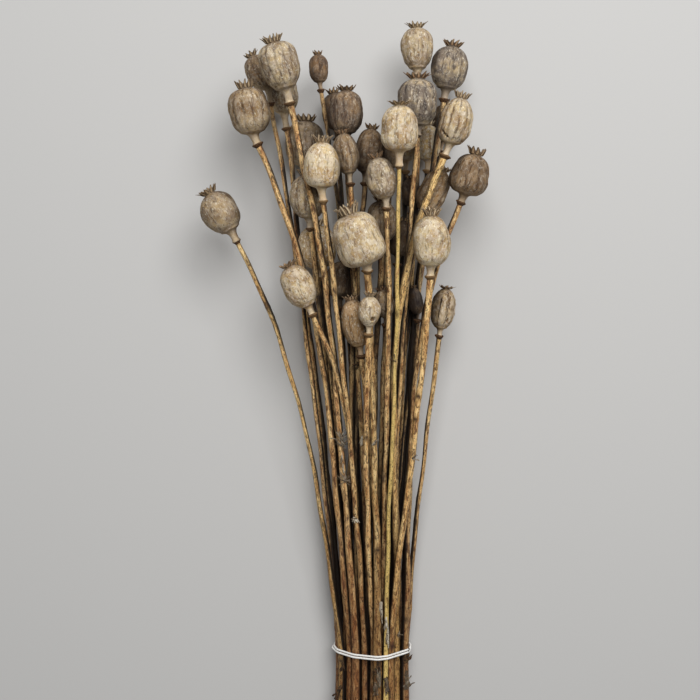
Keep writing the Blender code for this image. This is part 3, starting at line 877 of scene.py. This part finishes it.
def pick(obj, kind, passes):
    """Selects, in edit mode, only the faces or verts that pass a test."""
    bpy.ops.mesh.select_all(action="DESELECT")
    for item in getattr(bmesh.from_edit_mesh(obj.data), kind):
        if passes(item):
            item.select_set(True)
    bmesh.update_edit_mesh(obj.data)


def close_end(obj, height):
    """Gathers a ring of a tube into one point."""
    pick(obj, "verts", lambda vertex: abs(vertex.co.z - height) < 0.01)
    bpy.ops.mesh.merge(type="CENTER")


def drawn_tube(name, sides, rows):
    """A tube drawn up from a circle, row by row, and closed at both ends."""
    nothing_selected()
    bpy.ops.mesh.primitive_circle_add(vertices=sides, radius=1)
    obj = bpy.context.object
    obj.name = name
    bpy.ops.object.mode_set(mode="EDIT")
    bpy.ops.mesh.select_all(action="SELECT")
    for _ in range(rows):
        bpy.ops.mesh.extrude_region_move(TRANSFORM_OT_translate={"value": (0, 0, 1)})
    close_end(obj, rows)
    close_end(obj, 0)
    bpy.ops.mesh.select_all(action="SELECT")
    bpy.ops.mesh.normals_make_consistent(inside=False)
    bpy.ops.object.mode_set(mode="OBJECT")
    return obj


def tongue(name, steps, rounds):
    """A thin tongue with a round tip, standing on the origin, from a small block drawn up."""
    nothing_selected()
    bpy.ops.mesh.primitive_cube_add(size=1, location=(0, 0, 0.5))
    obj = bpy.context.object
    obj.name = name
    bpy.ops.object.transform_apply()
    bpy.ops.object.mode_set(mode="EDIT")
    bpy.ops.mesh.select_all(action="SELECT")
    bpy.ops.transform.resize(value=(0.8, 0.7, 0.2), center_override=(0, 0, 0))
    for rise, grow in steps:
        pick(obj, "faces", lambda face: face.normal.z > 0.9)
        bpy.ops.mesh.extrude_region_move(TRANSFORM_OT_translate={"value": (0, 0, rise)})
        bpy.ops.transform.resize(value=(grow, grow, 1))
    bpy.ops.object.mode_set(mode="OBJECT")
    smooth = obj.modifiers.new("round", "SUBSURF")
    smooth.levels = smooth.render_levels = rounds
    bpy.ops.object.modifier_apply(modifier=smooth.name)
    return obj


class Pattern:
    """A form modelled once, of which copies are fitted to each poppy."""

    def __init__(self, source):
        self.source = source
        self.places = places_of(source.data)
        self.row = np.rint(self.places[:, 2]).astype(int)
        self.rows = self.row.max()
        self.angle = np.arctan2(self.places[:, 1], self.places[:, 0])

    def copy(self, name, material):
        mesh = self.source.data.copy()
        mesh.materials.clear()
        mesh.materials.append(material)
        return added(name, mesh)

    def away(self):
        bpy.data.objects.remove(self.source)


def joined(name, pieces):
    """The pieces as one object, with their own materials."""
    nothing_selected()
    for piece in pieces:
        piece.select_set(True)
    bpy.context.view_layer.objects.active = pieces[0]
    bpy.ops.object.join()
    whole = bpy.context.object
    whole.name = whole.data.name = name
    whole.data.shade_smooth()
    return whole


def waves(values, chance, counts, size):
    """A slow wave that differs from piece to piece."""
    total = np.zeros(np.shape(values))
    for count in counts:
        total = total + np.sin(values * count + chance.uniform(0, math.tau))
    return total * size / len(counts)


class Route:
    """The smooth way of a stem, as places and directions by length from the cut end, in mm."""

    def __init__(self, laid):
        knots = laid.knots
        ys = knots[:, 1]
        slopes = np.gradient(knots[:, [0, 2]], ys, axis=0)
        slopes[0] = 0
        slopes[-2:] = laid.up_stem[[0, 2]] / laid.up_stem[1]
        fine = np.linspace(ys[0], ys[-1], 500)
        at = np.clip(np.searchsorted(ys, fine, side="right") - 1, 0, len(ys) - 2)
        span = (ys[at + 1] - ys[at])[:, None]
        t = (fine - ys[at])[:, None] / span
        leaves, arrives = slopes[at] * span, slopes[at + 1] * span
        sideways = knots[:, [0, 2]]
        sideways = eased(t, sideways[at], leaves, sideways[at + 1], arrives)
        self.points = np.column_stack([sideways[:, 0], fine, sideways[:, 1]])
        self.lengths = lengths_along(self.points)
        self.length = self.lengths[-1]
        directions = np.gradient(self.points, self.lengths, axis=0)
        self.directions = directions / np.linalg.norm(directions, axis=1)[:, None]


def frames(directions):
    """Two unit vectors square to each direction, which all run roughly along +Y."""
    side = np.array([1.0, 0, 0]) - directions[:, :1] * directions
    side /= np.linalg.norm(side, axis=1)[:, None]
    return side, np.cross(directions, side)


def lay(local, laid, route):
    """Moves places of the straightened poppy, (x, y, length from the cut end) in mm, to where
    the poppy lies. Past the collar it follows the neck, and past the neck the head's axis."""
    over = local[:, 2] - route.length
    on_stem = over < 0
    base = table_at(local[:, 2], route.lengths, route.points)
    ahead = table_at(local[:, 2], route.lengths, route.directions)
    past = over - laid.neck
    neck = laid.foot + past[:, None] * laid.up_stem
    body = laid.foot + past[:, None] * laid.axis
    turn = np.clip(over / laid.neck, 0, 1)[:, None]
    base = np.where(on_stem[:, None], base, np.where(past[:, None] < 0, neck, body))
    ahead = np.where(on_stem[:, None], ahead, laid.up_stem * (1 - turn) + laid.axis * turn)
    ahead = ahead / np.linalg.norm(ahead, axis=1)[:, None]
    side, over_side = frames(ahead)
    places = base + local[:, :1] * side + local[:, 1:2] * over_side
    places = places - ORIGIN
    places[:, 2] = np.maximum(places[:, 2], 0)
    return places * MM


LEVELS = np.arange(-105.0, 530.0, 3.0)  # from below the cut ends to above the crowns, in mm


def sections(laid):
    """Where the middle of a poppy is at each level, as x and z, and its radius there."""
    stem = table_at(LEVELS, laid.knots[:, 1], laid.knots[:, [0, 2]])
    line = np.where(LEVELS[:, None] > laid.collar[1], laid.head_line(LEVELS), stem)
    return np.column_stack([line, laid.radius_at(LEVELS)])


def painted_shade_from_others(places, number):
    """How closely the other poppies hem in each point of one poppy, from 0 in the open to 1: the
    amount of painted shade that the finishes put there.
    """
    level = places[:, 1]
    facing = places[:, [0, 2]] - table_at(level, LEVELS, SECTIONS[number])[:, :2]
    facing /= np.linalg.norm(facing, axis=1)[:, None] + TINY
    total = np.zeros(len(places))
    for other, cut in enumerate(SECTIONS):
        if other == number:
            continue
        section = table_at(level, LEVELS, cut)
        towards = section[:, :2] - places[:, [0, 2]]
        distance = np.linalg.norm(towards, axis=1) + TINY
        facing_it = np.maximum((facing * towards).sum(axis=1) / distance, 0)
        total += facing_it * np.arcsin(np.minimum(section[:, 2] / distance, 1)) * 2 / math.pi
    return np.clip(total, 0, 1)


def finish_piece(obj, local, laid, route, offset, along=0.0, rib=0.0, pale=0.0, grey=0.0):
    """Lays a piece of a poppy in its place, and notes what its finish reads."""
    mesh = obj.data
    places = lay(local, laid, route)
    paint(mesh, "grain", local * MM + offset, "FLOAT_VECTOR")
    notes = {"along": along, "rib": rib, "pale": pale, "grey": grey}
    # the amount of painted shade between the poppies, which the finishes read
    notes["shut"] = painted_shade_from_others(places / MM + ORIGIN, bunch.index(laid))
    for name, values in notes.items():
        paint(mesh, name, np.broadcast_to(values, len(local)))
    put(mesh, places)
    return obj


def make_stem(patterns, laid, look, route, chance, offset):
    pattern = patterns["stem"]
    obj = pattern.copy("stem", STEM)
    rows = pattern.rows
    steps = np.arange(rows + 1)
    lengths = np.interp(steps, [0, 1, 2, rows - 1, rows], [0.0012, -0.0005, 0.0003, 0.999, 1])
    lengths = lengths * route.length
    height = np.interp(lengths, route.lengths, route.points[:, 1])
    radius = laid.stem_radius(height)
    radius[[0, -1]] = 0
    radius[1] *= 0.8
    angle = pattern.angle
    row = pattern.row
    scars = np.zeros(len(row))
    for _ in range(chance.integers(*SCARS)):
        at = chance.uniform(0.08, 0.92) * route.length
        swell = np.exp(-(((lengths - at) / SCAR_LONG) ** 2))
        radius *= 1 + SCAR_SWELL * swell
        side = np.cos(angle - chance.uniform(0, math.tau))
        scars += swell[row] * np.clip(side * 2 - 0.9, 0, 1)
    radius *= 1 + waves(lengths / 24, chance, (1, 1.9, 3.1), 0.07)
    ease = np.interp(lengths, [0, 90, 200, route.length - 25, route.length], [0.3, 0.4, 1, 1, 0])
    sway = [waves(lengths / 17, chance, (0.45, 1, 1.7), 1.0) * ease for _ in range(2)]
    reach = radius[row] * (1 + 0.05 * np.cos(2 * angle + lengths[row] / 60))
    reach *= 1 + 0.04 * np.cos(7 * angle + lengths[row] / 180)
    local = round_axis(reach, angle, lengths[row]) + columns(*sway, 0 * lengths)[row]
    shade = chance.uniform(*SHADES) * (0.8 + 0.2 * min(look.pale * 2, 1))
    along = lengths[row] / route.length
    return finish_piece(
        obj, local, laid, route, offset, along, scars.clip(0, 1), shade, look.straw
    )


def make_pith(patterns, laid, look, route, chance, offset):
    """The cut end: a shallow dome of pale pith inside the stem's brown rim."""
    pattern = patterns["ray"]
    obj = pattern.copy("pith", PITH)
    radius = laid.stem_radius(0)
    local = pattern.places * (1.3 * radius, 1.45 * radius, 0.3) - (0, 0, 0.35)
    return finish_piece(obj, local, laid, route, offset)


def make_collar(patterns, laid, look, route, chance, offset):
    pattern = patterns["collar"]
    obj = pattern.copy("collar", COLLAR)
    flare = COLLAR_FLARE * laid.stem
    heights = np.array([-2.6, -2.6, -2.0, -1.3, -0.6, -0.1, 0.4, 0.8, 1.0, 1.0])
    reach = np.array([0.0, 0.56, 0.66, 0.80, 0.97, 1.05, 1.0, 0.86, 0.6, 0.0])
    angle = pattern.angle
    row = pattern.row
    lumpy = 1 + waves(angle, chance, (3, 5, 7), 0.07) * (reach[row] > 0.7)
    level = route.length + heights[row] + waves(angle, chance, (1, 2), 0.3)
    local = round_axis(reach[row] * flare * lumpy, angle, level)
    return finish_piece(obj, local, laid, route, offset, pale=min(max(look.pale * 2 - 0.9, 0), 1))


def share_of(heights, laid):
    """Where heights over the collar lie in the capsule's body, from 0 at its foot to 1."""
    return (heights - laid.neck) / (2 * laid.half)


def crown_line(look, run):
    """Where the crown is at a run up its flare, as its radius and its height over the capsule's
    top. Both, and the run, are shares of the capsule's width."""
    lean = CROWN_LEAN[0] + CROWN_LEAN[1] * look.spread
    return CROWN_FOOT[0] + run * math.sin(lean), CROWN_FOOT[1] + run * math.cos(lean)


def capsule_rows(laid, look, rows):
    """Heights over the collar and radii: up the neck and the body, over the crown's rim and in."""
    flare = [crown_line(look, run)[::-1] for run in (0, 0.05, 0.10, 0.14, 0.165)]
    top, rim = flare[-1]
    flare += [(top + 0.006, rim - 0.012), (top - 0.02, rim - 0.04), (top - 0.06, 0.12)]
    flare += [(0.03, 0.08), (0.035, 0)]
    cup_heights, cup_reach = np.array(flare).T * laid.wide
    over = np.linspace(-0.4, laid.neck * 0.92, NECK_ROWS)
    turn = np.linspace(0.13, math.pi - 0.16, rows - NECK_ROWS - len(flare))
    share = -np.cos(turn)
    heights = np.concatenate([over, laid.neck + laid.half * (1 + share)])
    power = np.where(share < 0, look.foot, look.top)
    body = (1 - np.abs(share) ** power) ** (1 / power) * (1 + look.egg * share) / 2
    body = np.concatenate([np.zeros(NECK_ROWS), body])
    up = heights / laid.neck
    funnel = 0.094 + 0.012 * up + 0.055 * np.clip(up, 0, 1.2) ** 5
    funnel *= np.exp(-((np.maximum(up - 1.1, 0) / 0.25) ** 2))
    funnel += 0.03 * np.exp(-((up / 0.14) ** 2))
    waist = np.where(up > 1.5, 0.142, 0)
    reach = (body**MERGE + funnel**MERGE + waist**MERGE) ** (1 / MERGE) * laid.wide
    heights = np.concatenate([[-0.4], heights, laid.top + cup_heights])
    return heights, np.concatenate([[0], reach, cup_reach])


def broken(local, laid, route, gap):
    """How far each point lies in a break of the wall, from 0 to 1."""
    ends = []
    for degrees, share in (gap.start, gap.end):
        angle = math.radians(degrees)
        reach = laid.capsule_radius(np.array(2 * share - 1))
        height = route.length + laid.neck + 2 * laid.half * share
        ends.append(np.array([reach * math.cos(angle), reach * math.sin(angle), height]))
    run = ends[1] - ends[0]
    at = np.clip((local - ends[0]) @ run / (run @ run), 0, 1)
    away = np.linalg.norm(local - ends[0] - at[:, None] * run, axis=1)
    ragged = gap.wide * (1 + 0.3 * np.sin(9 * at) - 0.5 * np.abs(2 * at - 1) ** 3)
    return np.exp(-((away / ragged) ** 4))


def lumps(places, shift):
    """Smooth noise at each place, from -1 to 1."""
    shift = Vector(shift.tolist())
    return np.array([noise.noise(Vector(place) + shift) for place in places.tolist()])


def make_capsule(patterns, laid, look, route, chance, offset):
    """The neck, the ribbed body and the cup that carries the rays, as one skin."""
    pattern = patterns["capsule" if laid.poppy.height > FINE_ABOVE else "far_capsule"]
    obj = pattern.copy("capsule", CAPSULE)
    heights, reach = capsule_rows(laid, look, pattern.rows)
    row = pattern.row
    angle = pattern.angle
    share = share_of(heights, laid)[row]
    ribbed = np.sin(np.clip(share, 0, 1) * math.pi) ** 0.5
    twisted = angle - laid.roll + 0.12 * np.sin(share * 2.5 + laid.roll) * ribbed
    rib = np.abs(np.cos(look.rays * twisted / 2)) ** 0.9
    valley = VALLEY_DEEP * look.furrow * (1 - rib) * ribbed
    in_cup = share > 1
    raised = np.clip((heights[row] - laid.top) / (0.15 * laid.wide), 0, 1)
    at_ray = np.cos(look.rays * (angle - laid.roll)) * raised
    out = reach[row] * (1 - valley) * (1 + 0.09 * at_ray)
    local = round_axis(out, angle, heights[row])
    local[:, 2] += 0.03 * laid.wide * (at_ray - raised)
    dents, folds = (lumps(local * (many / laid.wide), offset / MM) for many in (DENTS, FOLDS))
    swell = DENT_DEEP * dents + FOLD_DEEP * look.furrow * folds
    local[:, :2] *= (1 + swell * ribbed)[:, None]
    local[:, 2] += route.length
    along = np.where(in_cup, 1 + 0.25 * (row - row[in_cup].min()) / 8, share)
    rib = np.where(ribbed > 0, 1 - (1 - rib) * min(look.furrow, 1), 1)
    for gap in BREAKS:
        if bunch.index(laid) + 1 == gap.poppy:
            torn = broken(local, laid, route, gap)
            local[:, :2] *= 1 - TORN_DEEP * torn[:, None]
            # the wall is only dented here, and the dent is painted with the dark of the cup's
            # inside as painted shade of the opening
            along = np.where(torn > 0.35, 1.3, along)
    return finish_piece(obj, local, laid, route, offset, along, rib, look.pale, look.grey)


def make_rays(patterns, laid, look, route, chance, offset):
    """The rays round the crown: thick little tongues that stand out and up from the cup's rim."""
    pattern = patterns["ray"]
    wide = laid.wide
    thick, broad, up = pattern.places.T
    pieces = []
    for k in range(look.rays):
        obj = pattern.copy("ray", RAY)
        length = chance.uniform(*RAY_LONG)
        breadth = RAY_BROAD / look.rays * wide * chance.uniform(0.85, 1.1)
        out, rise = crown_line(look, length * up)
        curl = chance.uniform(-0.06, 0.09) * (0.4 + look.spread) * up**2
        out = (out + 0.02 + curl) * wide + RAY_THICK * wide * thick
        rise = (rise - 0.4 * np.abs(curl)) * wide
        sideways = broad * breadth * (1 - 0.35 * up)
        sideways = sideways + chance.uniform(-0.06, 0.06) * wide * up**2
        turn = laid.roll + math.tau * k / look.rays + chance.uniform(-0.05, 0.05)
        local = columns(
            out * math.cos(turn) - sideways * math.sin(turn),
            out * math.sin(turn) + sideways * math.cos(turn),
            route.length + laid.top + rise,
        )
        middle = 1 - np.abs(broad) / np.abs(broad).max()
        pieces.append(
            finish_piece(obj, local, laid, route, offset, up, middle, look.pale, look.rust)
        )
    return pieces


def make_poppies(bunch):
    patterns = {
        "stem": Pattern(drawn_tube("stem_pattern", sides=14, rows=150)),
        "collar": Pattern(drawn_tube("collar_pattern", sides=20, rows=9)),
        "capsule": Pattern(drawn_tube("capsule_pattern", sides=110, rows=62)),
        "far_capsule": Pattern(drawn_tube("far_capsule_pattern", sides=70, rows=46)),
        "ray": Pattern(tongue("ray_pattern", ((0.3, 1.1), (0.3, 0.9), (0.2, 0.45)), 1)),
    }
    poppies = []
    for number, (laid, look) in enumerate(zip(bunch, LOOKS), 1):
        chance = np.random.default_rng([SEED, number])
        offset = chance.uniform(-1, 1, 3)
        route = Route(laid)
        kinds = (make_capsule, make_stem, make_pith, make_collar)
        pieces = [make(patterns, laid, look, route, chance, offset) for make in kinds]
        pieces += make_rays(patterns, laid, look, route, chance, offset)
        poppy = joined(f"dried_poppy_{number:02}", pieces)
        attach(poppy, "root")
        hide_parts(f"poppy_{number:02}")
        poppies.append(poppy)
    for pattern in patterns.values():
        pattern.away()
    return poppies


def eye():
    return Vector((*(SIGHT - ORIGIN[:2]), EYE + MIDDLE)) * MM


def top_of_bunch(poppies, across, along):
    """The point nearest to the eye within a short way sideways, or else a little further."""
    for asides in ((0, -2.5, 2.5), (-5, 5)):
        aims = [Vector((across + aside, along, -EYE)).normalized() for aside in asides]
        met = [poppy.ray_cast(eye(), aim) for aim in aims for poppy in poppies]
        near = [hit for hit in met if hit[0]]
        if near:
            return np.array(min(near, key=lambda hit: hit[3])[0])


def make_scraps(poppies):
    pattern = Pattern(tongue("strip_pattern", ((0.3, 1.1), (0.3, 0.9), (0.2, 0.4)), 2))
    thick, broad, up = pattern.places.T
    graph = bpy.context.evaluated_depsgraph_get()
    trees = [BVHTree.FromObject(poppy, graph) for poppy in poppies]
    for number, scrap in enumerate(SCRAPS, 1):
        chance = np.random.default_rng([SEED, SCRAP_SEEDS + number])
        foot = top_of_bunch(trees, scrap.across, scrap.along)
        strips = []
        for k in range(scrap.strips):
            obj = pattern.copy("strip", LEAF)
            length = scrap.long * chance.uniform(0.6, 1.1)
            share = k / max(scrap.strips - 1, 1) - 0.5
            turn = math.radians(scrap.turn + scrap.fan * (share + chance.uniform(-0.25, 0.25)))
            curl = chance.uniform(-1.0, 1.0)
            lift = chance.uniform(0.4, 2.4)
            aside = chance.uniform(-0.5, 0.5) * scrap.wide
            ahead = length * (up - 0.08) + chance.uniform(-1.5, 1.5)
            crumple = np.sin(ahead * 1.1 + k) + np.sin(ahead * 0.6 + broad * 5 + 2 * k)
            over = scrap.wide * broad * (1 + 0.22 * crumple) + aside
            over = over + (1.6 * curl * up + 0.25 * crumple) * up
            rise = lift * up * (1 - 0.6 * up) + 0.12 * scrap.wide * crumple * (0.4 + broad * curl)
            local = columns(
                ahead * math.sin(turn) + over * math.cos(turn),
                ahead * math.cos(turn) - over * math.sin(turn),
                0.5 + thick * 0.5 + rise,
            )
            paint(obj.data, "grain", local * MM + chance.uniform(-1, 1, 3), "FLOAT_VECTOR")
            paint(obj.data, "pale", np.full(len(local), scrap.pale * chance.uniform(0, 1.8)))
            put(obj.data, foot + local * MM)
            strips.append(obj)
        leaf = joined(f"withered_leaf_{number:02}", strips)
        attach(leaf, "root")
    pattern.away()


def make_band(points, count=420, evenings=6):
    """The elastic band, as a round strand along a smooth closed way."""
    closed = np.vstack([points, points[:1]])
    lengths = lengths_along(closed)
    way = table_at(np.linspace(0, lengths[-1], count, endpoint=False), lengths, closed)
    for _ in range(evenings):
        way = (np.roll(way, 1, axis=0) + 2 * way + np.roll(way, -1, axis=0)) / 4
    curve = bpy.data.curves.new("elastic", "CURVE")
    curve.dimensions = "3D"
    curve.bevel_depth = BAND_THICK / 2 * MM
    curve.bevel_resolution = 3
    spline = curve.splines.new("POLY")
    spline.points.add(count - 1)
    for point, place in zip(spline.points, (way - ORIGIN) * MM):
        point.co = (*place, 1)
    spline.use_cyclic_u = True
    obj = added("elastic_band", curve)
    nothing_selected()
    obj.select_set(True)
    bpy.context.view_layer.objects.active = obj
    bpy.ops.object.convert(target="MESH")
    band = bpy.context.object
    band.data.materials.clear()
    band.data.materials.append(BAND)
    paint(band.data, "grain", places_of(band.data), "FLOAT_VECTOR")
    band.data.shade_smooth()
    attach(band, "root")
    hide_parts("tie_band")


def make_floor():
    nothing_selected()
    bpy.ops.mesh.primitive_plane_add(size=16)
    floor = bpy.context.object
    floor.name = "floor"
    recipe = Recipe("pale_floor")
    floor.data.materials.append(recipe.finish(on_screen((201, 200, 198)), 0.9))


def area_light(name, place, aim, size, power):
    data = bpy.data.lights.new(name, "AREA")
    data.shape = "DISK"
    data.size = size
    data.energy = power
    light = added(name, data)
    light.location = place
    light.rotation_euler = (Vector(aim) - Vector(place)).to_track_quat("-Z", "Y").to_euler()


def make_lights():
    world = bpy.data.worlds.new("soft_room")
    world.use_nodes = True
    background = world.node_tree.nodes["Background"]
    background.inputs["Color"].default_value = (1, 1, 1, 1)
    background.inputs["Strength"].default_value = ROOM_LIGHT
    bpy.context.scene.world = world
    area_light("ceiling", **LAMP)


def make_camera():
    data = bpy.data.cameras.new("camera")
    data.sensor_width = 36
    data.lens = data.sensor_width * EYE / SEEN
    camera = added("camera", data)
    camera.location = eye()
    bpy.context.scene.camera = camera
    bpy.context.scene.view_settings.view_transform = "Standard"


SECTIONS = [sections(laid) for laid in bunch]
make_scraps(make_poppies(bunch))
make_band(band_points)
make_floor()
make_lights()
make_camera()
